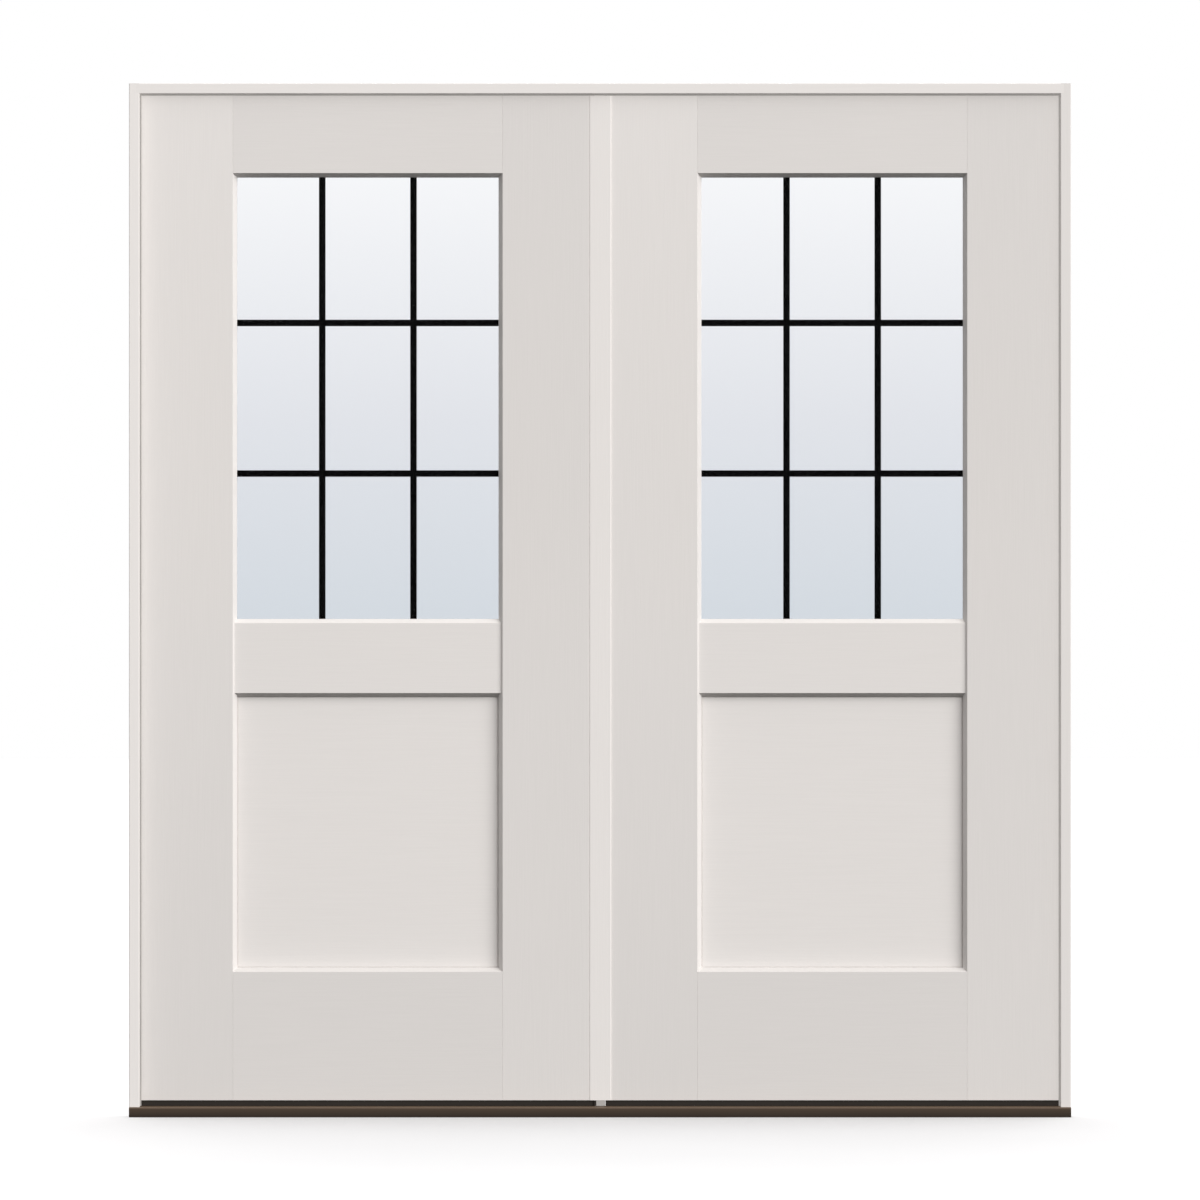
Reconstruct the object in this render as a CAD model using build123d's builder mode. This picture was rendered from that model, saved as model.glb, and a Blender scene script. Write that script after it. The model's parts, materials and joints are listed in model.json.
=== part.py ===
from build123d import *
import os

# A pair of half-glazed French doors in their frame. The leaves open into the room.
# X runs across the doorway, +Y points into the room and +Z up.
# The origin is the middle of the sill's underside. All sizes are millimetres.
# The left leaf is the active one. The right leaf carries the astragal and its bolts.

# Overall size
unit_width = 1886.0
unit_height = 2070.0
frame_depth = 66.0

# Frame members
jamb_base = 14.2            # thickness of a jamb beside the leaf's edge
stop_height = 6.6           # how far the stop stands in past that
member_round = 1.5          # rounding of a member's front edges
kerf_width = 2.4            # slot that holds a seal
kerf_depth = 6.0

# Sill
sill_height = 21.5
nose_height = 19.5
nose_reach = 12.5           # how far the nose stands out in front of the jambs
nose_round = 3.0
cover_wall = 2.0
tread_length = 40.0         # slope of the tread, from the nose inwards
cap_depth = 27.0
cap_thickness = 7.5
cap_chamfer = 1.0

# Leaves
leaf_thickness = 44.5
leaf_lift = 11.5            # room under a leaf for its sweep
hinge_gap = 3.2             # between a leaf and its jamb
head_gap = 3.2              # between a leaf and the head
meeting_gap = 3.2           # between the active leaf and the astragal
hinge_stile_face = 189.6
lock_stile_face = 184.4
top_rail_face = 161.6
mid_rail_face = 140.0
bottom_rail_face = 257.0
panel_opening_height = 559.0
mid_rail_setback = 5.5      # the mid rail's face lies behind the stiles' faces
bevel_width = 8.4
bevel_depth = 14.0
panel_setback = 5.0         # the panel's field lies this far behind the bevels' inner edges
groove_depth = 12.0
panel_play = 1.5
field_edge_width = 2.2      # sloped rim of the panel's field
field_edge_depth = 1.2
field_gap = 0.2
leaf_round = 2.0
joint_chamfer = 0.6         # fine groove where a rail meets a stile

# Glazing
pane_thickness = 3.0
glass_play = 0.8
spacer_width = 7.5
spacer_inset = 1.0
bar_width = 13.0
bar_thickness = 8.0
bar_round = 1.0
bar_pitch_x = 183.0
bar_pitch_z = 302.0
mitre_gap = 0.2

# Seals
stop_gap = 5.0              # between the stop's shoulder and a leaf
seal_show = 3.2             # how far a seal shows past the stop
seal_side_play = 0.4
seal_round = 1.6
fin_play = 0.1
seat_gap = 0.3              # between a soft piece and what it closes on

# Sweep under each leaf
sweep_side_play = 0.5
sweep_inset = 2.0
sweep_base = 2.5
fin_wall = 2.0
fin_count = 4
barb_width = 2.2
barb_height = 7.0
barb_play = 0.1
barb_spacing = 26.0

# Hinges
hinge_height = 100.0
hinge_plate_depth = 30.0
hinge_plate_wall = 2.6
hinge_corner = 12.0
knuckle_radius = 6.0
knuckle_count = 3
knuckle_gap = 0.4
barrel_gap = 0.5            # between the barrel and the leaf's face
pin_radius = 3.0
pin_play = 0.05
top_hinge_drop = 180.0      # from a leaf's top to the middle of its top hinge
bottom_hinge_rise = 280.0   # from a leaf's bottom to the middle of its bottom hinge

# Holes for the screws that fix the jambs to the wall
fixing_hole_radius = 2.75
fixing_margin = 185.0       # from the frame's ends to the outer holes
fixing_setback = 6.0        # from the frame's front face

# Astragal and flush bolts
stem_width = 18.0
stem_depth = 41.0
flange_wall = 2.2
flange_gap = 0.5            # between the flange and the leaves' faces
flange_over_active = 13.6
flange_over_passive = 11.6
flange_round = 1.5
flange_end_gap = 0.5
astragal_seal_width = 5.0
astragal_seal_depth = 1.0
astragal_seal_inset = 2.5
pad_lap = 1.0               # how far the pad covers the end of the sweep
bolt_radius = 4.0
bolt_play = 0.3
bolt_length = 230.0
bolt_setback = 15.0         # from the leaf's room face
bolt_end_gap = 0.4
top_bolt_throw = 13.0
bottom_bolt_throw = 11.0
slider_height = 26.0
slider_width = 9.0
slider_reach = 8.6
slider_play = 0.4
finger_radius = 7.0
finger_depth = 2.0
strike_length = 52.0
strike_width = 19.0
strike_wall = 2.0
strike_hole_play = 0.8
pocket_play = 1.2
pocket_spare = 1.6

# Places from front to back
frame_front = -frame_depth / 2
frame_back = frame_depth / 2
leaf_back = frame_back
leaf_front = leaf_back - leaf_thickness
shoulder = leaf_front - stop_gap
sight_front = leaf_front + bevel_depth
sight_back = leaf_back - bevel_depth
mid_front = leaf_front + mid_rail_setback
mid_back = leaf_back - mid_rail_setback
panel_front = sight_front + panel_setback
tongue_front = panel_front + field_edge_depth
leaf_middle_y = (leaf_front + leaf_back) / 2

# Places across the left half
jamb_outer = -unit_width / 2
jamb_inner = jamb_outer + jamb_base
stop_inner = jamb_inner + stop_height
seal_inner = stop_inner + seal_show
kerf_x = (jamb_inner + stop_inner) / 2
leaf_hinge_edge = jamb_inner + hinge_gap
leaf_width = unit_width / 2 - jamb_base - hinge_gap - (stem_width + meeting_gap) / 2
leaf_lock_edge = leaf_hinge_edge + leaf_width
leaf_middle_x = (leaf_hinge_edge + leaf_lock_edge) / 2
bevel_left = leaf_hinge_edge + hinge_stile_face
bevel_right = leaf_lock_edge - lock_stile_face
sight_left = bevel_left + bevel_width
sight_right = bevel_right - bevel_width
groove_left = sight_left - groove_depth
groove_right = sight_right + groove_depth
sight_middle = (sight_left + sight_right) / 2

# Heights
rabbet_top = unit_height - jamb_base
stop_bottom = rabbet_top - stop_height
kerf_z = (rabbet_top + stop_bottom) / 2
leaf_bottom = sill_height + leaf_lift
leaf_top = rabbet_top - head_gap
bottom_rail_top = leaf_bottom + bottom_rail_face
mid_bottom = bottom_rail_top + panel_opening_height
mid_top = mid_bottom + mid_rail_face
top_rail_bottom = leaf_top - top_rail_face
glass_low = mid_top + bevel_width
glass_high = top_rail_bottom - bevel_width
glass_middle = (glass_low + glass_high) / 2
pocket_low = glass_low - groove_depth
pocket_high = glass_high + groove_depth
seal_bottom = sill_height + seat_gap

# Astragal, which stands against the passive leaf's edge
stem_right = -leaf_lock_edge
stem_left = stem_right - stem_width
stem_front = leaf_front - flange_gap
stem_back = stem_front + stem_depth
flange_left = stem_left - flange_over_active
flange_right = stem_right + flange_over_passive
flange_top = stop_bottom - seal_show - flange_end_gap
bolt_x = (stem_left + stem_right) / 2
bolt_y = leaf_back - bolt_setback
top_bolt_top = leaf_top - bolt_end_gap
top_bolt_low = top_bolt_top - bolt_length
bottom_bolt_low = seal_bottom + bolt_end_gap
bottom_bolt_top = bottom_bolt_low + bolt_length

# Hinge axis of the left leaf
axis_x = (jamb_inner + leaf_hinge_edge) / 2
axis_y = leaf_back + knuckle_radius + barrel_gap
top_hinge_z = leaf_top - top_hinge_drop
bottom_hinge_z = leaf_bottom + bottom_hinge_rise
hinge_heights = {
    "top": top_hinge_z,
    "middle": (top_hinge_z + bottom_hinge_z) / 2,
    "bottom": bottom_hinge_z,
}
knuckle_pitch = hinge_height / knuckle_count

os.makedirs("parts", exist_ok=True)


def save(name, piece):
    piece.label = name
    export_step(piece, f"parts/{name}.step")


def elevation(y):
    """A plane that faces outside: sketch X is X and sketch Y is Z."""
    return Plane(origin=(0, y, 0), x_dir=(1, 0, 0), z_dir=(0, -1, 0))


def cut(piece):
    add(piece, mode=Mode.SUBTRACT)


def mirrored(piece):
    """The same piece on the other half of the doorway."""
    with BuildPart() as twin:
        mirror(piece, about=Plane.YZ)
    return twin.part


def span(low, high):
    """Middle and length of a stretch."""
    return (low + high) / 2, high - low


# Hinges: the jamb plate has the outer knuckles and the pin, the leaf plate the one between
def hinge_plate(height, edge, towards, first_knuckle):
    with BuildPart() as made:
        with BuildSketch(Plane.YZ.offset(edge)):
            with Locations((leaf_back - hinge_plate_depth / 2, height)):
                Rectangle(hinge_plate_depth, hinge_height)
            fillet(vertices().group_by(Axis.X)[0], radius=hinge_corner)
        extrude(amount=towards * hinge_plate_wall)
        for number in range(first_knuckle, knuckle_count, 2):
            low = height - hinge_height / 2 + number * knuckle_pitch + knuckle_gap / 2
            arm_y, arm_length = span(leaf_back - hinge_plate_wall, axis_y)
            with BuildSketch(Plane.XY.offset(low)):
                with Locations((edge + towards * hinge_plate_wall / 2, arm_y)):
                    Rectangle(hinge_plate_wall, arm_length)
                with Locations((axis_x, axis_y)):
                    Circle(knuckle_radius)
            extrude(amount=knuckle_pitch - knuckle_gap)
    return made


def jamb_plate(height):
    with hinge_plate(height, jamb_inner, -1, 0) as made:
        with Locations((axis_x, axis_y, height)):
            Cylinder(pin_radius, hinge_height - knuckle_pitch)
    return made.part


def leaf_plate(height):
    with hinge_plate(height, leaf_hinge_edge, 1, 1) as made:
        with Locations((axis_x, axis_y, height)):
            Cylinder(pin_radius + pin_play, hinge_height, mode=Mode.SUBTRACT)
    return made.part


jamb_plates = {place: jamb_plate(height) for place, height in hinge_heights.items()}
leaf_plates = {place: leaf_plate(height) for place, height in hinge_heights.items()}

# Bolt strikes and the pockets behind them
with BuildPart() as bolt_strikes:
    for low in (rabbet_top, sill_height - strike_wall):
        with BuildSketch(Plane.XY.offset(low)):
            with Locations((bolt_x, bolt_y)):
                SlotOverall(strike_length, strike_width)
                Circle(bolt_radius + strike_hole_play, mode=Mode.SUBTRACT)
        extrude(amount=strike_wall)

with BuildPart() as bolt_pockets:
    top_reach = top_bolt_top + top_bolt_throw + pocket_spare
    bottom_reach = bottom_bolt_low - bottom_bolt_throw - pocket_spare
    for low, high in ((rabbet_top, top_reach), (bottom_reach, sill_height)):
        middle, height = span(low, high)
        with Locations((bolt_x, bolt_y, middle)):
            Cylinder(bolt_radius + pocket_play, height)

# Sill: a bent cover over a solid base, with a cap under the leaves
tread_front = frame_front - nose_reach
tread_back = tread_front + tread_length
cap_front = frame_back - cap_depth
cap_seat = sill_height - cap_thickness

with BuildPart() as sill_cover:
    with BuildSketch(Plane.YZ.offset(jamb_outer)):
        with BuildLine():
            Polyline(
                (tread_front, 0),
                (tread_front, nose_height),
                (tread_back, sill_height),
                (cap_front, sill_height),
                (cap_front, sill_height - cover_wall),
                (tread_back, sill_height - cover_wall),
                (tread_front + cover_wall, nose_height - cover_wall),
                (tread_front + cover_wall, 0),
                close=True,
            )
        make_face()
        fillet(vertices().group_by(Axis.X)[0].sort_by(Axis.Y)[-1], radius=nose_round)
    extrude(amount=unit_width)

with BuildPart() as threshold_cap:
    with BuildSketch(Plane.YZ.offset(jamb_outer)):
        with Locations((cap_front + cap_depth / 2, cap_seat + cap_thickness / 2)):
            Rectangle(cap_depth, cap_thickness)
        chamfer(vertices().group_by(Axis.Y)[-1], length=cap_chamfer)
    extrude(amount=unit_width)
    cut(bolt_strikes.part)
    cut(bolt_pockets.part)

with BuildPart() as sill_base:
    with BuildSketch(Plane.YZ.offset(jamb_outer)):
        with BuildLine():
            Polyline(
                (tread_front + cover_wall, 0),
                (tread_front + cover_wall, nose_height - cover_wall),
                (tread_back, sill_height - cover_wall),
                (cap_front, sill_height - cover_wall),
                (cap_front, cap_seat),
                (frame_back, cap_seat),
                (frame_back, 0),
                close=True,
            )
        make_face()
    extrude(amount=unit_width)
    cut(bolt_pockets.part)

# Head and jambs, rabbeted for the leaves
with BuildPart() as head_jamb:
    with BuildSketch(Plane.YZ.offset(jamb_inner)):
        with BuildLine():
            Polyline(
                (frame_front, unit_height),
                (frame_front, stop_bottom),
                (shoulder, stop_bottom),
                (shoulder, rabbet_top),
                (frame_back, rabbet_top),
                (frame_back, unit_height),
                close=True,
            )
        make_face()
        fillet(vertices().group_by(Axis.X)[0], radius=member_round)
    extrude(amount=-2 * jamb_inner)
    with BuildSketch(Plane.YZ.offset(stop_inner)):
        with Locations((shoulder - kerf_depth / 2, kerf_z)):
            Rectangle(kerf_depth, kerf_width)
    extrude(amount=-2 * stop_inner, mode=Mode.SUBTRACT)
    cut(bolt_strikes.part)
    cut(bolt_pockets.part)

with BuildPart() as left_jamb:
    with BuildSketch():
        with BuildLine():
            Polyline(
                (jamb_outer, frame_front),
                (stop_inner, frame_front),
                (stop_inner, shoulder),
                (jamb_inner, shoulder),
                (jamb_inner, frame_back),
                (jamb_outer, frame_back),
                close=True,
            )
        make_face()
        fillet(vertices().group_by(Axis.Y)[0], radius=member_round)
        with Locations((kerf_x, shoulder - kerf_depth / 2)):
            Rectangle(kerf_width, kerf_depth, mode=Mode.SUBTRACT)
    extrude(amount=unit_height)
    for neighbour in (head_jamb, sill_cover, sill_base, threshold_cap):
        cut(neighbour.part)
    for plate in jamb_plates.values():
        cut(plate)
    for step in (-1, 0, 1):
        height = unit_height / 2 + step * (unit_height / 2 - fixing_margin)
        with Locations(Plane((stop_inner, frame_front + fixing_setback, height), z_dir=(1, 0, 0))):
            Hole(fixing_hole_radius)

# Seals: a bulb against the stop's shoulder and a fin in its kerf
bulb_x, bulb_width = span(jamb_inner + seal_side_play, seal_inner)
bulb_y, bulb_depth = span(shoulder, leaf_front - seat_gap)
fin_y, fin_depth = span(shoulder - kerf_depth + fin_play, shoulder)
fin_width = kerf_width - 2 * fin_play
bulb_z, bulb_height = span(stop_bottom - seal_show, rabbet_top - seal_side_play)

with BuildPart() as left_seal:
    with BuildSketch(Plane.XY.offset(seal_bottom)):
        with Locations((bulb_x, bulb_y)):
            Rectangle(bulb_width, bulb_depth)
        fillet(vertices().group_by(Axis.Y)[-1], radius=seal_round)
    extrude(amount=rabbet_top - seal_side_play - seal_bottom)
    with BuildSketch(Plane.XY.offset(seal_bottom)):
        with Locations((kerf_x, fin_y)):
            Rectangle(fin_width, fin_depth)
    extrude(amount=stop_bottom - fin_play - seal_bottom)

with BuildPart() as head_seal:
    with BuildSketch(Plane.YZ.offset(seal_inner)):
        with Locations((bulb_y, bulb_z)):
            Rectangle(bulb_depth, bulb_height)
        fillet(vertices().group_by(Axis.X)[-1], radius=seal_round)
        with Locations((fin_y, kerf_z)):
            Rectangle(fin_depth, fin_width)
    extrude(amount=-2 * seal_inner)


# Leaf members. The inner edge of each carries a bevel on both faces and a groove between them
def moulded_edge(at, inward, front, bevel_end, back):
    tip = at + inward * bevel_width
    floor = tip - inward * groove_depth
    return [
        (front, at),
        (bevel_end, tip),
        (tongue_front, tip),
        (tongue_front, floor),
        (sight_back, floor),
        (sight_back, tip),
        (back, at),
    ]


def plain_edge(at, front, back):
    return [(front, at), (back, at)]


def stile_outline(edge, face_edge, inward):
    across = plain_edge(edge, leaf_front, leaf_back)
    moulded = moulded_edge(face_edge, inward, leaf_front, sight_front, leaf_back)
    return [(x, y) for y, x in across + moulded[::-1]]


def cut_glass_pocket():
    """The glass goes in from the room side, into a pocket as deep as the panel's groove."""
    with BuildSketch(elevation(leaf_back)) as pocket:
        with Locations((sight_middle, glass_middle)):
            Rectangle(groove_right - groove_left, pocket_high - pocket_low)
    extrude(pocket.sketch, amount=leaf_back - sight_front, mode=Mode.SUBTRACT)


def cut_barb_slots():
    with BuildSketch(Plane.XY.offset(leaf_bottom)) as slots:
        with Locations((leaf_middle_x, leaf_middle_y)):
            with GridLocations(0, barb_spacing, 1, 2):
                Rectangle(leaf_width, barb_width + 2 * barb_play)
    extrude(slots.sketch, amount=barb_height + barb_play, mode=Mode.SUBTRACT)


def face_joint_edges(piece):
    upright = piece.edges().filter_by(Axis.Z)
    front_and_back = (leaf_front, leaf_back)
    return upright.filter_by(lambda e: min(abs(e.center().Y - y) for y in front_and_back) < joint_chamfer)


with BuildPart() as hinge_stile:
    with BuildSketch(Plane.XY.offset(leaf_bottom)):
        with BuildLine():
            Polyline(*stile_outline(leaf_hinge_edge, bevel_left, 1), close=True)
        make_face()
        fillet(vertices().group_by(Axis.X)[0], radius=leaf_round)
    extrude(amount=leaf_top - leaf_bottom)
    cut_glass_pocket()
    cut_barb_slots()
    for plate in leaf_plates.values():
        cut(plate)

with BuildPart() as lock_stile:
    with BuildSketch(Plane.XY.offset(leaf_bottom)):
        with BuildLine():
            Polyline(*stile_outline(leaf_lock_edge, bevel_right, -1), close=True)
        make_face()
        fillet(vertices().group_by(Axis.X)[-1], radius=leaf_round)
    extrude(amount=leaf_top - leaf_bottom)
    cut_glass_pocket()
    cut_barb_slots()

with BuildPart() as top_rail:
    with BuildSketch(Plane.YZ.offset(groove_left)):
        with BuildLine():
            upper = plain_edge(leaf_top, leaf_front, leaf_back)
            lower = moulded_edge(top_rail_bottom, -1, leaf_front, sight_front, leaf_back)
            Polyline(*upper, *lower[::-1], close=True)
        make_face()
    extrude(amount=groove_right - groove_left)
    cut(hinge_stile.part)
    cut(lock_stile.part)
    cut_glass_pocket()
    chamfer(face_joint_edges(top_rail), length=joint_chamfer)

with BuildPart() as mid_rail:
    with BuildSketch(Plane.YZ.offset(groove_left)):
        with BuildLine():
            upper = moulded_edge(mid_top, 1, mid_front, sight_front, mid_back)
            lower = moulded_edge(mid_bottom, -1, mid_front, panel_front, mid_back)
            Polyline(*upper, *lower[::-1], close=True)
        make_face()
    extrude(amount=groove_right - groove_left)
    cut(hinge_stile.part)
    cut(lock_stile.part)
    cut_glass_pocket()

with BuildPart() as bottom_rail:
    with BuildSketch(Plane.YZ.offset(groove_left)):
        with BuildLine():
            upper = moulded_edge(bottom_rail_top, 1, leaf_front, sight_front, leaf_back)
            lower = plain_edge(leaf_bottom, leaf_front, leaf_back)
            Polyline(*upper, *lower[::-1], close=True)
        make_face()
    extrude(amount=groove_right - groove_left)
    cut(hinge_stile.part)
    cut(lock_stile.part)
    cut_barb_slots()
    chamfer(face_joint_edges(bottom_rail), length=joint_chamfer)

# The panel's tongue sits in the grooves, and its field fills the opening
with BuildPart() as panel:
    field_low = bottom_rail_top + bevel_width
    field_high = mid_bottom - bevel_width
    middle, height = span(field_low, field_high)
    tongue_reach = 2 * (groove_depth - panel_play)
    with BuildSketch(elevation(sight_back)):
        with Locations((sight_middle, middle)):
            Rectangle(sight_right - sight_left + tongue_reach, height + tongue_reach)
    extrude(amount=sight_back - tongue_front)
    with BuildSketch(elevation(tongue_front)):
        with Locations((sight_middle, middle)):
            Rectangle(sight_right - sight_left - 2 * field_gap, height - 2 * field_gap)
    extrude(amount=tongue_front - panel_front)
    rim = faces().sort_by(Axis.Y)[0]
    chamfer(rim.edges(), length=field_edge_width, length2=field_edge_depth - field_gap, reference=rim)

# Glazing: two panes on a spacer, black bars between them, and beads on the room side
glass_width = groove_right - groove_left - 2 * glass_play
glass_height = pocket_high - pocket_low - 2 * glass_play
spacer_front = sight_front + pane_thickness
spacer_back = sight_back - pane_thickness
spacer_outer = (glass_width - 2 * spacer_inset, glass_height - 2 * spacer_inset)
spacer_inner = (spacer_outer[0] - 2 * spacer_width, spacer_outer[1] - 2 * spacer_width)

with BuildPart() as outer_pane:
    with BuildSketch(elevation(spacer_front)):
        with Locations((sight_middle, glass_middle)):
            Rectangle(glass_width, glass_height)
    extrude(amount=pane_thickness)

with BuildPart() as inner_pane:
    with BuildSketch(elevation(sight_back)):
        with Locations((sight_middle, glass_middle)):
            Rectangle(glass_width, glass_height)
    extrude(amount=pane_thickness)

with BuildPart() as glass_spacer:
    with BuildSketch(elevation(spacer_back)):
        with Locations((sight_middle, glass_middle)):
            Rectangle(*spacer_outer)
            Rectangle(*spacer_inner, mode=Mode.SUBTRACT)
    extrude(amount=spacer_back - spacer_front)

with BuildPart() as grille:
    with BuildSketch(elevation((spacer_front + spacer_back + bar_thickness) / 2)):
        with Locations((sight_middle, glass_middle)):
            with GridLocations(bar_pitch_x, 0, 2, 1):
                Rectangle(bar_width, spacer_inner[1])
            with GridLocations(0, bar_pitch_z, 1, 2):
                Rectangle(spacer_inner[0], bar_width)
    extrude(amount=bar_thickness)
    broad_faces = faces().filter_by(Axis.Y)
    long_edges = broad_faces.edges().filter_by(lambda e: e.length > bar_width * 2)
    chamfer(long_edges, length=bar_round)

with BuildPart() as glazing_beads:
    pocket_size = (groove_right - groove_left, pocket_high - pocket_low)
    sight_size = (sight_right - sight_left, glass_high - glass_low)
    with BuildSketch(elevation(mid_back)):
        with Locations((sight_middle, glass_middle)):
            Rectangle(*pocket_size)
            Rectangle(*sight_size, mode=Mode.SUBTRACT)
        for side, level in ((-1, -1), (-1, 1), (1, -1), (1, 1)):
            corner_x = sight_middle + side * (sight_size[0] + groove_depth) / 2
            corner_z = glass_middle + level * (sight_size[1] + groove_depth) / 2
            with Locations((corner_x, corner_z)):
                Rectangle(groove_depth * 2, mitre_gap, rotation=45 * side * level, mode=Mode.SUBTRACT)
    extrude(amount=mid_back - sight_back)
    with BuildSketch(elevation(sight_back)):
        with Locations((sight_middle, glass_middle)):
            Rectangle(*sight_size)
    with BuildSketch(elevation(mid_back)):
        with Locations((sight_middle, glass_middle)):
            Rectangle(sight_size[0] + 2 * bevel_width, sight_size[1] + 2 * bevel_width)
    loft(mode=Mode.SUBTRACT)

# Sweep: fins that brush the threshold, held by barbs in the leaf's underside
with BuildPart() as sweep:
    sweep_front = leaf_front + sweep_inset
    sweep_depth = leaf_thickness - 2 * sweep_inset
    fin_middle, fin_height = span(seal_bottom, leaf_bottom - sweep_base)
    fin_pitch = (sweep_depth - fin_wall) / (fin_count - 1)
    with BuildSketch(Plane.YZ.offset(leaf_hinge_edge + sweep_side_play)):
        with Locations((leaf_middle_y, leaf_bottom - sweep_base / 2)):
            Rectangle(sweep_depth, sweep_base)
        with Locations((leaf_middle_y, fin_middle)):
            with GridLocations(fin_pitch, 0, fin_count, 1):
                Rectangle(fin_wall, fin_height)
        with Locations((leaf_middle_y, leaf_bottom + barb_height / 2)):
            with GridLocations(barb_spacing, 0, 2, 1):
                Rectangle(barb_width, barb_height)
    extrude(amount=leaf_width - 2 * sweep_side_play)

# Astragal: a flange over the meeting line and a stem on the passive leaf's edge
with BuildPart() as flush_bolts_space:
    for low, high in ((top_bolt_low - slider_play, leaf_top), (seal_bottom, bottom_bolt_top + slider_play)):
        middle, height = span(low, high)
        with Locations((bolt_x, bolt_y, middle)):
            Cylinder(bolt_radius + bolt_play, height)
    top_slot = (top_bolt_low, top_bolt_low + slider_height + top_bolt_throw)
    bottom_slot = (bottom_bolt_top - slider_height - bottom_bolt_throw, bottom_bolt_top)
    for low, high in (top_slot, bottom_slot):
        middle, height = span(low, high)
        with Locations(((stem_left + bolt_x) / 2, bolt_y, middle)):
            Box(bolt_x - stem_left, slider_width + 2 * slider_play, height + 2 * slider_play)

with BuildPart() as astragal:
    flange_x, flange_width = span(flange_left, flange_right)
    stem_y, stem_length = span(stem_front, stem_back)
    with BuildSketch(Plane.XY.offset(leaf_bottom)):
        with Locations((flange_x, stem_front - flange_wall / 2)):
            Rectangle(flange_width, flange_wall)
        fillet(vertices().group_by(Axis.Y)[0], radius=flange_round)
        with Locations((bolt_x, stem_y)):
            Rectangle(stem_width, stem_length)
        seal_x = flange_left + astragal_seal_inset + astragal_seal_width / 2
        with Locations((seal_x, stem_front - astragal_seal_depth / 2)):
            Rectangle(astragal_seal_width, astragal_seal_depth, mode=Mode.SUBTRACT)
    extrude(amount=flange_top - leaf_bottom)
    upper_y, upper_length = span(leaf_front, stem_back)
    with BuildSketch(Plane.XY.offset(flange_top)):
        with Locations((bolt_x, upper_y)):
            Rectangle(stem_width, upper_length)
    extrude(amount=leaf_top - flange_top)
    cut(flush_bolts_space.part)

with BuildPart() as astragal_seal:
    middle, depth = span(stem_front - astragal_seal_depth, leaf_front - seat_gap)
    with BuildSketch(Plane.XY.offset(leaf_bottom)):
        with Locations((seal_x, middle)):
            Rectangle(astragal_seal_width, depth)
    extrude(amount=flange_top - leaf_bottom)

with BuildPart() as astragal_end_block:
    with BuildSketch(Plane.XY.offset(seal_bottom)):
        with Locations((bolt_x, stem_y)):
            Rectangle(stem_width, stem_length)
    extrude(amount=leaf_bottom - seal_bottom)
    cut(flush_bolts_space.part)

# A soft pad that covers the meeting gap in front of the active leaf's sweep
with BuildPart() as astragal_pad:
    pad_x, pad_width = span(leaf_lock_edge - sweep_side_play - pad_lap, stem_left)
    pad_y, pad_depth = span(stem_front, leaf_front + sweep_inset - seat_gap)
    pad_z, pad_height = span(seal_bottom, leaf_bottom - seat_gap)
    with Locations((pad_x, pad_y, pad_z)):
        Box(pad_width, pad_depth, pad_height)


# Flush bolts: a rod with a slider that a finger pushes through the astragal's slot
def flush_bolt(low, slider_low, tip):
    with BuildPart() as made:
        with Locations((bolt_x, bolt_y, low + bolt_length / 2)):
            Cylinder(bolt_radius, bolt_length)
        chamfer(edges().filter_by(GeomType.CIRCLE).sort_by(Axis.Z)[tip], length=bolt_radius / 5)
        slider_middle = slider_low + slider_height / 2
        with Locations((bolt_x - slider_reach / 2, bolt_y, slider_middle)):
            Box(slider_reach, slider_width, slider_height)
        scoop_x = bolt_x - slider_reach + finger_depth - finger_radius
        with Locations(Location((scoop_x, bolt_y, slider_middle), (90, 0, 0))):
            Cylinder(finger_radius, slider_width, mode=Mode.SUBTRACT)
    return made.part


top_bolt = flush_bolt(top_bolt_low, top_bolt_low, -1)
bottom_bolt = flush_bolt(bottom_bolt_low, bottom_bolt_top - slider_height, 0)

# The passive leaf is the active leaf's mirror image
leaf_pieces = {
    "hinge_stile": hinge_stile.part,
    "lock_stile": lock_stile.part,
    "top_rail": top_rail.part,
    "mid_rail": mid_rail.part,
    "bottom_rail": bottom_rail.part,
    "panel": panel.part,
    "outer_pane": outer_pane.part,
    "inner_pane": inner_pane.part,
    "glass_spacer": glass_spacer.part,
    "grille": grille.part,
    "glazing_beads": glazing_beads.part,
    "sweep": sweep.part,
}
for place in hinge_heights:
    leaf_pieces[f"{place}_hinge_leaf_plate"] = leaf_plates[place]
    leaf_pieces[f"{place}_hinge_jamb_plate"] = jamb_plates[place]

for name, piece in leaf_pieces.items():
    twin = mirrored(piece)
    save(f"active_{name}", piece)
    save(f"passive_{name}", twin)

right_jamb = mirrored(left_jamb.part)
right_seal = mirrored(left_seal.part)

save("left_jamb", left_jamb.part)
save("right_jamb", right_jamb)
save("head_jamb", head_jamb.part)
save("sill_cover", sill_cover.part)
save("sill_base", sill_base.part)
save("threshold_cap", threshold_cap.part)
save("left_seal", left_seal.part)
save("right_seal", right_seal)
save("head_seal", head_seal.part)
save("bolt_strikes", bolt_strikes.part)
save("astragal", astragal.part)
save("astragal_seal", astragal_seal.part)
save("astragal_end_block", astragal_end_block.part)
save("astragal_pad", astragal_pad.part)
save("top_bolt", top_bolt)
save("bottom_bolt", bottom_bolt)
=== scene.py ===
import bmesh
import bpy
import json
import math
from mathutils import Matrix, Vector


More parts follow.
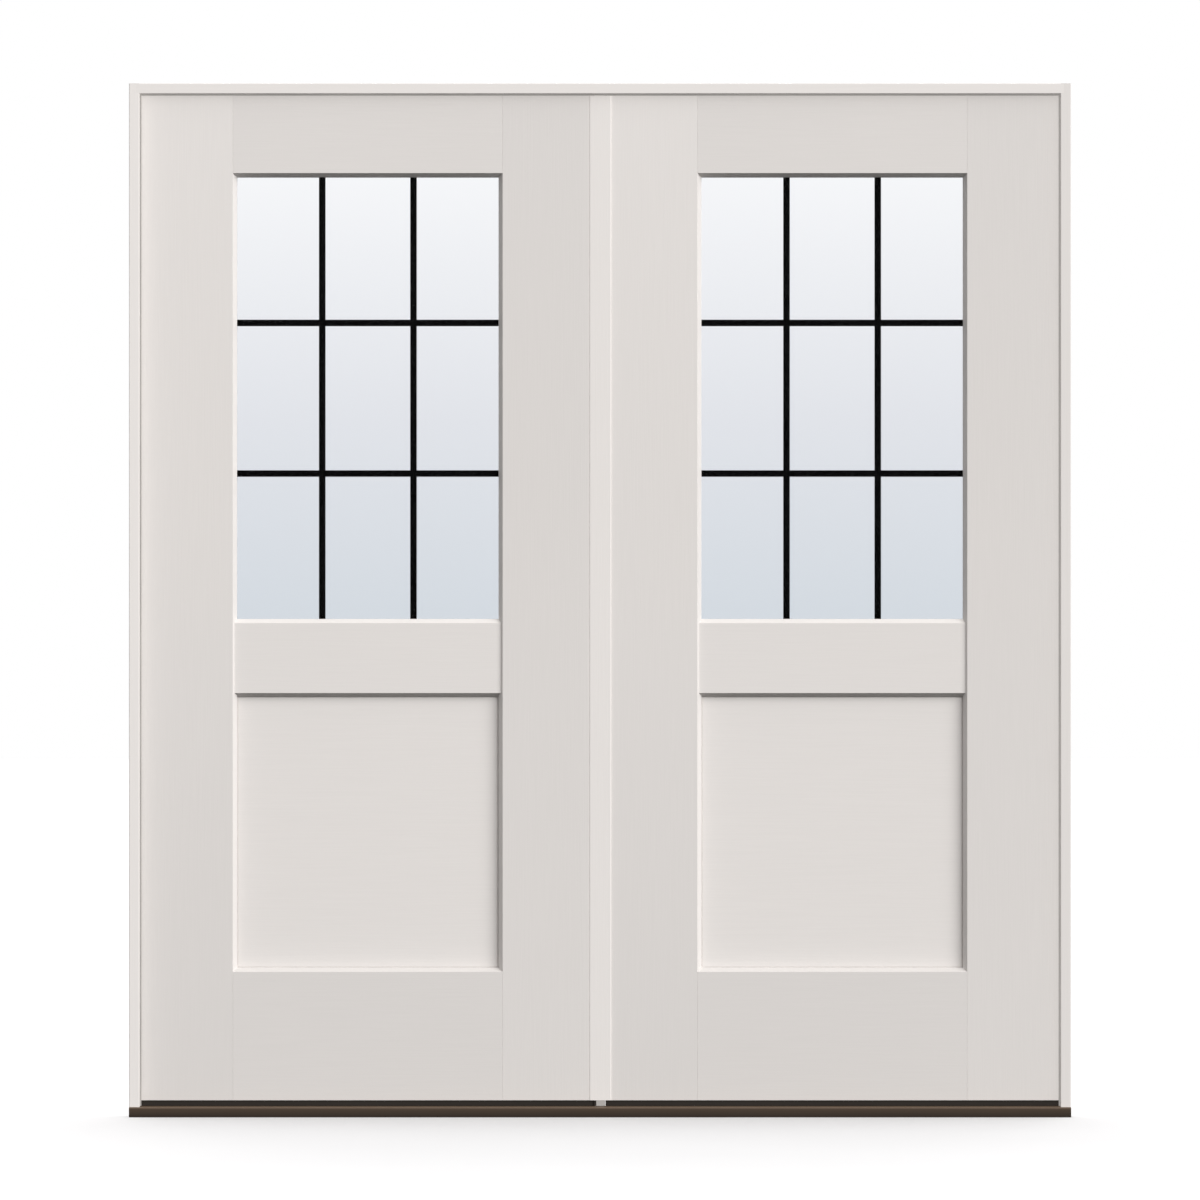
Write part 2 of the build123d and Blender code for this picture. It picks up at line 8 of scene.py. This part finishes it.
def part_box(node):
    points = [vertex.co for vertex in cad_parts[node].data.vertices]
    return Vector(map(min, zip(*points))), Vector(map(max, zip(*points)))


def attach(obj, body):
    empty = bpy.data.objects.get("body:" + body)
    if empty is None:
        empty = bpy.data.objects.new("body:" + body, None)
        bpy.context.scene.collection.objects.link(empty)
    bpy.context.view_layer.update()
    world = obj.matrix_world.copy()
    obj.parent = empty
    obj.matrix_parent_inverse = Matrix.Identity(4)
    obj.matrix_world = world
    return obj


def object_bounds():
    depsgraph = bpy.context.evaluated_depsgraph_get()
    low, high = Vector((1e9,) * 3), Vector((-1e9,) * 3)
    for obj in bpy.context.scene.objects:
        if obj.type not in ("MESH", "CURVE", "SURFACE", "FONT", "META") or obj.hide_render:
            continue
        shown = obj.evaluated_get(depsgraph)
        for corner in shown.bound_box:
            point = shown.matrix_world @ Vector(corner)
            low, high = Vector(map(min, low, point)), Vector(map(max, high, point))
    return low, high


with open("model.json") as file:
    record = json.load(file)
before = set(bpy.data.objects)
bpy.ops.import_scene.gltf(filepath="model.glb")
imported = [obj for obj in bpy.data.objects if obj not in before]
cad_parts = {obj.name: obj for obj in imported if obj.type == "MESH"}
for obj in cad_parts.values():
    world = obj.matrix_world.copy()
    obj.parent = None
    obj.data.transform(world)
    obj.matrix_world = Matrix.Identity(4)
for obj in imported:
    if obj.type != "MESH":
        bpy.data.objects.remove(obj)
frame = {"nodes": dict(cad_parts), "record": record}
cad_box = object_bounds()

scene = bpy.context.scene
nodes = frame["nodes"]
slot_of = {part["node"]: part["material_slot"] for part in frame["record"]["subparts"]}


class Tree:
    """A material's node tree, with short names for the nodes that the finishes below share."""

    def __init__(self, name):
        self.material = bpy.data.materials.new(name)
        self.material.use_nodes = True
        self.tree = self.material.node_tree
        self.shader = self.tree.nodes["Principled BSDF"]
        self.place = self.tree.nodes.new("ShaderNodeTexCoord").outputs["Object"]

    def set(self, **values):
        for name, value in values.items():
            self.shader.inputs[name.replace("_", " ")].default_value = value

    def link(self, a, b):
        self.tree.links.new(a, b)

    def mapping(self, scale):
        node = self.tree.nodes.new("ShaderNodeMapping")
        node.inputs["Scale"].default_value = scale
        self.link(self.place, node.inputs["Vector"])
        return node.outputs["Vector"]

    def noise(self, scale, detail=3.0, stretch=(1, 1, 1), roughness=0.5):
        node = self.tree.nodes.new("ShaderNodeTexNoise")
        node.inputs["Scale"].default_value = scale
        node.inputs["Detail"].default_value = detail
        node.inputs["Roughness"].default_value = roughness
        self.link(self.mapping(stretch), node.inputs["Vector"])
        return node.outputs["Fac"]

    def ramp(self, value, stops):
        node = self.tree.nodes.new("ShaderNodeValToRGB")
        ends = node.color_ramp.elements
        while len(ends) < len(stops):
            ends.new(0.5)
        for end, (position, colour) in zip(ends, stops):
            end.position = position
            end.color = (*colour, 1)
        self.link(value, node.inputs["Fac"])
        return node.outputs["Color"]

    def span(self, value, low, high, start=0.0, end=1.0):
        node = self.tree.nodes.new("ShaderNodeMapRange")
        node.inputs["From Min"].default_value = start
        node.inputs["From Max"].default_value = end
        node.inputs["To Min"].default_value = low
        node.inputs["To Max"].default_value = high
        self.link(value, node.inputs["Value"])
        return node.outputs["Result"]

    def mix(self, factor, a, b, mode="MIX"):
        node = self.tree.nodes.new("ShaderNodeMix")
        node.data_type = "RGBA"
        node.blend_type = mode
        for socket, value in ((node.inputs[0], factor), (node.inputs[6], a), (node.inputs[7], b)):
            if isinstance(value, bpy.types.NodeSocket):
                self.link(value, socket)
            elif socket.type == "RGBA":
                socket.default_value = (*value, 1)
            else:
                socket.default_value = value
        return node.outputs[2]

    def bump(self, height, distance, strength=1.0, after=None):
        node = self.tree.nodes.new("ShaderNodeBump")
        node.inputs["Distance"].default_value = distance
        node.inputs["Strength"].default_value = strength
        self.link(height, node.inputs["Height"])
        if after:
            self.link(after, node.inputs["Normal"])
        return node.outputs["Normal"]

    def upward(self, vector):
        node = self.tree.nodes.new("ShaderNodeSeparateXYZ")
        self.link(vector, node.inputs["Vector"])
        return node.outputs["Z"]

    def height(self):
        return self.upward(self.place)

    def facing_up(self):
        return self.upward(self.tree.nodes.new("ShaderNodeNewGeometry").outputs["Normal"])


# The panes' tint from their foot to their top, which holds a painted reflection lighter above, and the
# paint before each member's own factor of painted light and shade
GLASS_LOW = (0.808, 0.836, 0.866)
GLASS_MIDDLE = (0.869, 0.88, 0.904)
GLASS_HIGH = (0.962, 0.967, 0.977)
GLASS_FOOT_Z, GLASS_TOP_Z = 0.98, 1.9
WHITE = (0.8, 0.77, 0.75)
# Height up to which the paint's painted shade lightens from the floor
PAINT_SHADE_TOP_Z = 2.0
# Heights over which the sill's nose is painted darker towards the floor: painted shade
NOSE_LOW_Z, NOSE_HIGH_Z = 0.001, 0.0205


def shade(colour, factor):
    return tuple(channel * factor for channel in colour)


def paint(name, colour, along, low=0.97, underside_shade=0.9):
    """Satin paint with faint streaks along the grain and orange peel, with painted shade that darkens it
    towards the floor and where it faces down.

    low is its tone at the floor and underside its tone where the surface faces down, both painted shade.
    """
    made = Tree(name)
    streak = {"x": (1.4, 60, 60), "z": (60, 60, 1.4)}[along]
    tone = made.noise(1.1, 4)
    # Painted shade: darker towards the floor, lighter upwards
    painted_floor_shade = made.span(made.height(), low, 1.0, 0.0, PAINT_SHADE_TOP_Z)
    cloudy = made.ramp(tone, [(0.3, shade(colour, 0.985)), (0.7, colour)])
    grain = made.ramp(made.noise(6.0, 5, streak), [(0.35, (0.985, 0.985, 0.985)), (0.65, (1, 1, 1))])
    base = made.mix(1.0, cloudy, grain, "MULTIPLY")
    base = made.mix(1.0, base, painted_floor_shade, "MULTIPLY")
    # Painted shade on faces that point down
    shade_below = made.span(made.facing_up(), underside_shade, 1.0, -0.85, -0.2)
    base = made.mix(1.0, base, shade_below, "MULTIPLY")
    # Faces that point up are made a little darker
    facing_up_darker = made.span(made.facing_up(), 1.0, 0.97, 0.3, 0.85)
    base = made.mix(1.0, base, facing_up_darker, "MULTIPLY")
    made.link(base, made.shader.inputs["Base Color"])
    made.link(made.span(made.noise(9.0, 4), 0.4, 0.52), made.shader.inputs["Roughness"])
    brushed = made.bump(made.noise(6.0, 5, streak), 0.00012)
    peel = made.bump(made.noise(420.0, 2), 0.00003, after=brushed)
    made.link(peel, made.shader.inputs["Normal"])
    made.set(Specular_IOR_Level=0.35)
    return made.material


def plastic(name, colour, roughness, grain=900.0, depth=0.00004, specular=0.4):
    """Plastic, rubber or flat paint with a fine grain."""
    made = Tree(name)
    base = made.ramp(made.noise(5.0, 4), [(0.3, shade(colour, 0.86)), (0.7, colour)])
    made.link(base, made.shader.inputs["Base Color"])
    uneven = made.span(made.noise(30.0, 3), roughness - 0.07, roughness + 0.07)
    made.link(uneven, made.shader.inputs["Roughness"])
    made.link(made.bump(made.noise(grain, 2), depth), made.shader.inputs["Normal"])
    made.set(Specular_IOR_Level=specular)
    return made.material


def anodised(name, colour, shaded_colour):
    """Dark anodised aluminium drawn along X, with painted shade that darkens it towards the floor and a
    painted highlight where it faces up.
    """
    made = Tree(name)
    lines = made.noise(1.0, 4, (4, 500, 500))
    # Painted shade: from the darker colour at the floor to its own colour higher up
    painted_nose_shade = made.span(made.height(), 0.0, 1.0, NOSE_LOW_Z, NOSE_HIGH_Z)
    base = made.mix(painted_nose_shade, shaded_colour, colour)
    base = made.mix(1.0, base, made.ramp(lines, [(0.3, (0.88, 0.88, 0.88)), (0.7, (1, 1, 1))]), "MULTIPLY")
    # Painted highlight: faces that point up are made up to 1.6 times lighter
    painted_top_highlight = made.span(made.facing_up(), 1.0, 1.6, 0.2, 0.7)
    base = made.mix(1.0, base, painted_top_highlight, "MULTIPLY")
    made.link(base, made.shader.inputs["Base Color"])
    made.link(made.span(lines, 0.42, 0.58), made.shader.inputs["Roughness"])
    made.link(made.bump(lines, 0.00002), made.shader.inputs["Normal"])
    made.set(Specular_IOR_Level=0.3)
    return made.material


def metal(name, colour, roughness):
    """Metal brushed along Z."""
    made = Tree(name)
    lines = made.noise(1.0, 4, (700, 700, 4))
    base = made.ramp(lines, [(0.3, shade(colour, 0.9)), (0.7, colour)])
    made.link(base, made.shader.inputs["Base Color"])
    made.link(made.span(lines, roughness - 0.06, roughness + 0.08), made.shader.inputs["Roughness"])
    made.link(made.bump(lines, 0.00002), made.shader.inputs["Normal"])
    made.set(Metallic=1.0)
    return made.material


def glass(name):
    """Clear float glass with a painted reflection: its tint is deeper towards the floor and lighter
    towards the top, as the photograph has it.
    """
    made = Tree(name)
    # The glass's tint with a painted reflection, lighter towards the top
    tint_and_painted_reflection = made.ramp(
        made.span(made.height(), 0.0, 1.0, GLASS_FOOT_Z, GLASS_TOP_Z),
        [(0.0, GLASS_LOW), (0.45, GLASS_MIDDLE), (1.0, GLASS_HIGH)],
    )
    made.link(tint_and_painted_reflection, made.shader.inputs["Base Color"])
    made.link(made.bump(made.noise(3.0, 2), 0.0001, 0.2), made.shader.inputs["Normal"])
    made.set(Transmission_Weight=1.0, Roughness=0.0, IOR=1.45, Specular_Tint=(0.06, 0.06, 0.06, 1))
    return made.material


def white(name, factor, along, low=0.97, underside_shade=0.9):
    return paint(name, shade(WHITE, factor), along, low, underside_shade)


# Each kind of member has its own copy of the white paint, made lighter or darker as painted light and
# shade, as in the photograph; low darkens it towards the floor as painted shade
paints = {
    "left_stile": white("paint_left_stile", 1.034, "z", 0.88),
    "right_stile": white("paint_right_stile", 0.96, "z", 0.98),
    "top_rail": white("paint_top_rail", 0.975, "x"),
    # Painted shade: the mid rail's underside is much darker than the other members' undersides
    "mid_rail": white("paint_mid_rail", 1.015, "x", underside_shade=0.6),
    "bottom_rail": white("paint_bottom_rail", 0.95, "x"),
    "panel": white("paint_panel", 1.027, "x"),
    "beads": white("paint_beads", 1.0, "x"),
    "left_jamb": white("paint_left_jamb", 1.1, "z"),
    "right_jamb": white("paint_right_jamb", 1.02, "z"),
    "head": white("paint_head", 1.08, "x"),
    "astragal": white("paint_astragal", 1.075, "z"),
}
hardware = {
    # The sill's second colour is its painted shade at the floor
    "sill_bronze": anodised("bronze_sill", (0.08, 0.053, 0.034), (0.024, 0.015, 0.0095)),
    "sill_composite": plastic("sill_composite", (0.3, 0.27, 0.24), 0.6),
    "cap_plastic": plastic("threshold_plastic", (0.16, 0.13, 0.11), 0.5),
    # The seals' grey is kept dark so that it paints in the shadow in the gaps round the leaves: painted
    # shade
    "white_seal": plastic("seal_foam", (0.4, 0.385, 0.37), 0.75, 500.0, 0.0001),
    "dark_sweep": plastic("sweep_vinyl", (0.029, 0.024, 0.02), 0.7, specular=0.15),
    "clear_glass": glass("float_glass"),
    "black_bars": plastic("bar_paint", (0.001, 0.001, 0.001), 0.6, specular=0.02),
    "spacer_metal": metal("spacer_mill", (0.55, 0.55, 0.57), 0.4),
    "hinge_steel": metal("satin_nickel", (0.56, 0.54, 0.51), 0.34),
    # The end block's grey plastic is kept dark so that it also paints in the shade under the astragal's
    # flange: partly painted shade
    "block_plastic": plastic("block_plastic", (0.47, 0.455, 0.44), 0.6),
    "bolt_steel": metal("bolt_nickel", (0.56, 0.54, 0.51), 0.3),
}
paint_of = {
    "active_hinge_stile": "left_stile",
    "active_lock_stile": "right_stile",
    "passive_lock_stile": "left_stile",
    "passive_hinge_stile": "right_stile",
    "astragal": "astragal",
    "left_jamb": "left_jamb",
    "right_jamb": "right_jamb",
    "head_jamb": "head",
}
for side in ("active", "passive"):
    for piece in ("top_rail", "mid_rail", "bottom_rail", "panel"):
        paint_of[f"{side}_{piece}"] = piece
    paint_of[f"{side}_glazing_beads"] = "beads"

for name, part in nodes.items():
    chosen = paints[paint_of[name]] if name in paint_of else hardware[slot_of[name]]
    for place in part.material_slots:
        place.material = chosen
    if not part.material_slots:
        part.data.materials.append(chosen)

# The panes let the light through without a shadow
for side in ("active", "passive"):
    for pane in ("outer_pane", "inner_pane"):
        nodes[f"{side}_{pane}"].visible_shadow = False
        nodes[f"{side}_{pane}"].visible_diffuse = False

# The photograph has no cast shadow beside the frame or the astragal, only soft darkening in the corners
for name in ("head_jamb", "head_seal", "right_jamb", "right_seal", "astragal", "astragal_seal"):
    nodes[name].visible_shadow = False


# The hinge screws' oval heads, three on each plate, in metres
HEAD_RADIUS = 0.0038
HEAD_RISE = 0.0007
HEAD_RINGS = 7
HEAD_SIDES = 32
RECESS_REACH = 0.0019
RECESS_HALF = 0.0005
RECESS_DEPTH = 0.00055
HALF_GAP = 0.0016               # from the hinge's axis to a plate's face
SCREW_SPACING = 0.032
OUTER_SETBACK, MIDDLE_SETBACK = 0.010, 0.021    # from the leaf's room face
FIRST_TURN, NEXT_TURN = 0.4, 1.1                # how each cross recess happens to stand, in radians


def head_profile():
    """A screw's oval head with a cross recess, standing on the plane X = 0 and facing +X."""
    mesh = bmesh.new()
    loops = []
    for ring in range(HEAD_RINGS + 1):
        r = HEAD_RADIUS * (1 - ring / (HEAD_RINGS + 1))
        x = HEAD_RISE * math.sqrt(1 - (r / HEAD_RADIUS) ** 2)
        angles = [2 * math.pi * k / HEAD_SIDES for k in range(HEAD_SIDES)]
        loops.append([mesh.verts.new((x, r * math.cos(a), r * math.sin(a))) for a in angles])
    foot = [mesh.verts.new((-HEAD_RISE / 2, v.co.y, v.co.z)) for v in loops[0]]
    loops.insert(0, foot)
    for outer, inner in zip(loops, loops[1:]):
        for k in range(HEAD_SIDES):
            n = (k + 1) % HEAD_SIDES
            mesh.faces.new((outer[k], outer[n], inner[n], inner[k]))
    mesh.faces.new(loops[-1])
    mesh.faces.new(foot[::-1])
    head = bpy.data.meshes.new("screw_head")
    mesh.to_mesh(head)
    mesh.free()
    return head


def box_mesh(name, half):
    """A box with the given half sizes, centred on its origin."""
    mesh = bmesh.new()
    bmesh.ops.create_cube(mesh, size=2.0, matrix=Matrix.Diagonal((*half, 1)))
    made = bpy.data.meshes.new(name)
    mesh.to_mesh(made)
    mesh.free()
    return made


def recessed_head():
    """The oval head with a cross cut into it."""
    head = bpy.data.objects.new("screw_head", head_profile())
    scene.collection.objects.link(head)
    cutters = []
    for half in ((RECESS_DEPTH, RECESS_REACH, RECESS_HALF), (RECESS_DEPTH, RECESS_HALF, RECESS_REACH)):
        cutter = bpy.data.objects.new("recess", box_mesh("recess", half))
        cutter.location.x = HEAD_RISE
        scene.collection.objects.link(cutter)
        cutters.append(cutter)
        slot = head.modifiers.new("recess", "BOOLEAN")
        slot.operation = "DIFFERENCE"
        slot.object = cutter
        slot.solver = "EXACT"
    bpy.context.view_layer.update()
    solved = bpy.data.meshes.new_from_object(head.evaluated_get(bpy.context.evaluated_depsgraph_get()))
    for extra in (head, *cutters):
        bpy.data.objects.remove(extra)
    return solved


screw_head = recessed_head()
joints = frame["record"]["behaviour"]["joints"]
hinge_x = {joint["name"]: joint["pos_m"][0] for joint in joints if "pos_m" in joint}


def hinge_screws(side, place, plate, body):
    """Three heads on the face of one hinge plate, as one piece that rides on the plate's body."""
    outward = -1 if side == "active" else 1
    facing = -outward if plate == "jamb" else outward
    low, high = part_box(f"{side}_{place}_hinge_{plate}_plate")
    face_x = hinge_x[f"{side}_hinge"] - facing * HALF_GAP
    room_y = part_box(f"{side}_hinge_stile")[1].y
    mesh = bmesh.new()
    for step, setback in ((-1, OUTER_SETBACK), (0, MIDDLE_SETBACK), (1, OUTER_SETBACK)):
        turn = Matrix.Rotation(FIRST_TURN + step * NEXT_TURN, 4, "X")
        if facing < 0:
            turn = Matrix.Rotation(math.pi, 4, "Z") @ turn
        spot = Matrix.Translation((face_x, room_y - setback, (low.z + high.z) / 2 + step * SCREW_SPACING))
        one = screw_head.copy()
        one.transform(spot @ turn)
        mesh.from_mesh(one)
        bpy.data.meshes.remove(one)
    made = bpy.data.meshes.new(f"{side}_{place}_{plate}_screws")
    mesh.to_mesh(made)
    mesh.free()
    made.materials.append(hardware["hinge_steel"])
    piece = bpy.data.objects.new(made.name, made)
    scene.collection.objects.link(piece)
    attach(piece, body)


for side in ("active", "passive"):
    for place in ("top", "middle", "bottom"):
        hinge_screws(side, place, "jamb", "frame")
        hinge_screws(side, place, "leaf", f"{side}_leaf")


# Floor
floor_mesh = bpy.data.meshes.new("floor")
reach = 60.0
corners = [(-reach, -reach, 0), (reach, -reach, 0), (reach, reach, 0), (-reach, reach, 0)]
floor_mesh.from_pydata(corners, [], [(0, 1, 2, 3)])
floor = bpy.data.objects.new("floor", floor_mesh)
scene.collection.objects.link(floor)
floor_paint = Tree("studio_floor")
floor_paint.link(
    floor_paint.ramp(floor_paint.noise(0.7, 3), [(0.3, (0.68, 0.68, 0.69)), (0.7, (0.7, 0.7, 0.71))]),
    floor_paint.shader.inputs["Base Color"],
)
floor_paint.set(Roughness=0.9, Specular_IOR_Level=0.0)
floor_paint.set(Emission_Color=(1, 1, 1, 1), Emission_Strength=0.25)
floor_mesh.materials.append(floor_paint.material)
floor.visible_diffuse = False
floor.visible_glossy = False

# World: white for the camera and through the glass. Diffuse and reflected rays meet a dimmer ramp, which
# rises from low to high.
world = bpy.data.worlds.new("studio")
scene.world = world
world.use_nodes = True
sky = world.node_tree
background = sky.nodes["Background"]
direction = sky.nodes.new("ShaderNodeTexCoord")
split = sky.nodes.new("ShaderNodeSeparateXYZ")
level = sky.nodes.new("ShaderNodeMapRange")
level.inputs["From Min"].default_value = -1.0
level.inputs["From Max"].default_value = 1.0
ambient = sky.nodes.new("ShaderNodeValToRGB")
for stop, (position, value) in zip(ambient.color_ramp.elements, ((0.3, 0.045), (0.63, 0.575))):
    stop.position = position
    stop.color = (value, value * 0.985, value * 0.975, 1)
light_path = sky.nodes.new("ShaderNodeLightPath")
choose = sky.nodes.new("ShaderNodeMix")
choose.data_type = "RGBA"
choose.inputs[6].default_value = (1, 1, 1, 1)
sky.links.new(direction.outputs["Generated"], split.inputs["Vector"])
sky.links.new(split.outputs["Z"], level.inputs["Value"])
sky.links.new(level.outputs["Result"], ambient.inputs["Fac"])
through = sky.nodes.new("ShaderNodeMath")
through.operation = "SUBTRACT"
through.use_clamp = True
reflected = sky.nodes.new("ShaderNodeMath")
reflected.operation = "MAXIMUM"
sky.links.new(light_path.outputs["Is Glossy Ray"], through.inputs[0])
sky.links.new(light_path.outputs["Is Transmission Ray"], through.inputs[1])
sky.links.new(light_path.outputs["Is Diffuse Ray"], reflected.inputs[0])
sky.links.new(through.outputs["Value"], reflected.inputs[1])
sky.links.new(reflected.outputs["Value"], choose.inputs[0])
sky.links.new(ambient.outputs["Color"], choose.inputs[7])
sky.links.new(choose.outputs[2], background.inputs["Color"])
background.inputs["Strength"].default_value = 1.0


def sun(name, azimuth, elevation, strength, angle):
    """A distant soft light. Azimuth 0 shines from the camera's side and 90 from +X."""
    data = bpy.data.lights.new(name, "SUN")
    data.energy = strength
    data.angle = math.radians(angle)
    data.color = (1.0, 0.992, 0.98)
    lamp = bpy.data.objects.new(name, data)
    a, e = math.radians(azimuth), math.radians(elevation)
    towards = Vector((math.sin(a) * math.cos(e), -math.cos(a) * math.cos(e), math.sin(e)))
    lamp.rotation_mode = "QUATERNION"
    lamp.rotation_quaternion = towards.to_track_quat("Z", "Y")
    lamp.location = towards * 8
    lamp.visible_transmission = False
    scene.collection.objects.link(lamp)
    return lamp


key = sun("key", 45, 27, 2.93, 45)
sun("back", 180, 15, 1.6, 30)

# A high light that only the floor takes, so that the doors shade the ground in front of their sill.
# The key light leaves the floor out, because the photograph has no cast shadow beside the frame.
only_floor = bpy.data.collections.new("only_floor")
only_floor.objects.link(floor)
sun("ground", 180, 60, 1.9, 80).light_linking.receiver_collection = only_floor
all_but_floor = bpy.data.collections.new("all_but_floor")
all_but_floor.objects.link(floor)
all_but_floor.collection_objects[0].light_linking.link_state = "EXCLUDE"
key.light_linking.receiver_collection = all_but_floor

# Camera: square on, with a long lens as in the photograph. The image is 1200 pixels wide and high.
HALF_IMAGE = 600                # pixels
METRES_ACROSS_PIXEL = 0.0020022
METRES_UP_PIXEL = 0.0020035
GROUND_PIXEL = 1116.8           # the row of the sill's underside
NOSE_REACH = 0.0125             # from the sill's nose to the jambs' front, which has the scale above
camera_data = bpy.data.cameras.new("camera")
camera_data.lens = 400
camera_data.sensor_width = 36
camera = bpy.data.objects.new("camera", camera_data)
half_width = HALF_IMAGE * METRES_ACROSS_PIXEL
distance = half_width * camera_data.lens / (camera_data.sensor_width / 2)
height = (GROUND_PIXEL - HALF_IMAGE) * METRES_UP_PIXEL
camera.location = (0, cad_box[0].y + NOSE_REACH - distance, height)
camera.rotation_euler = (math.radians(90), 0, 0)
camera_data.clip_end = 200
scene.collection.objects.link(camera)
scene.camera = camera

scene.view_settings.view_transform = "Standard"
scene.view_settings.look = "None"
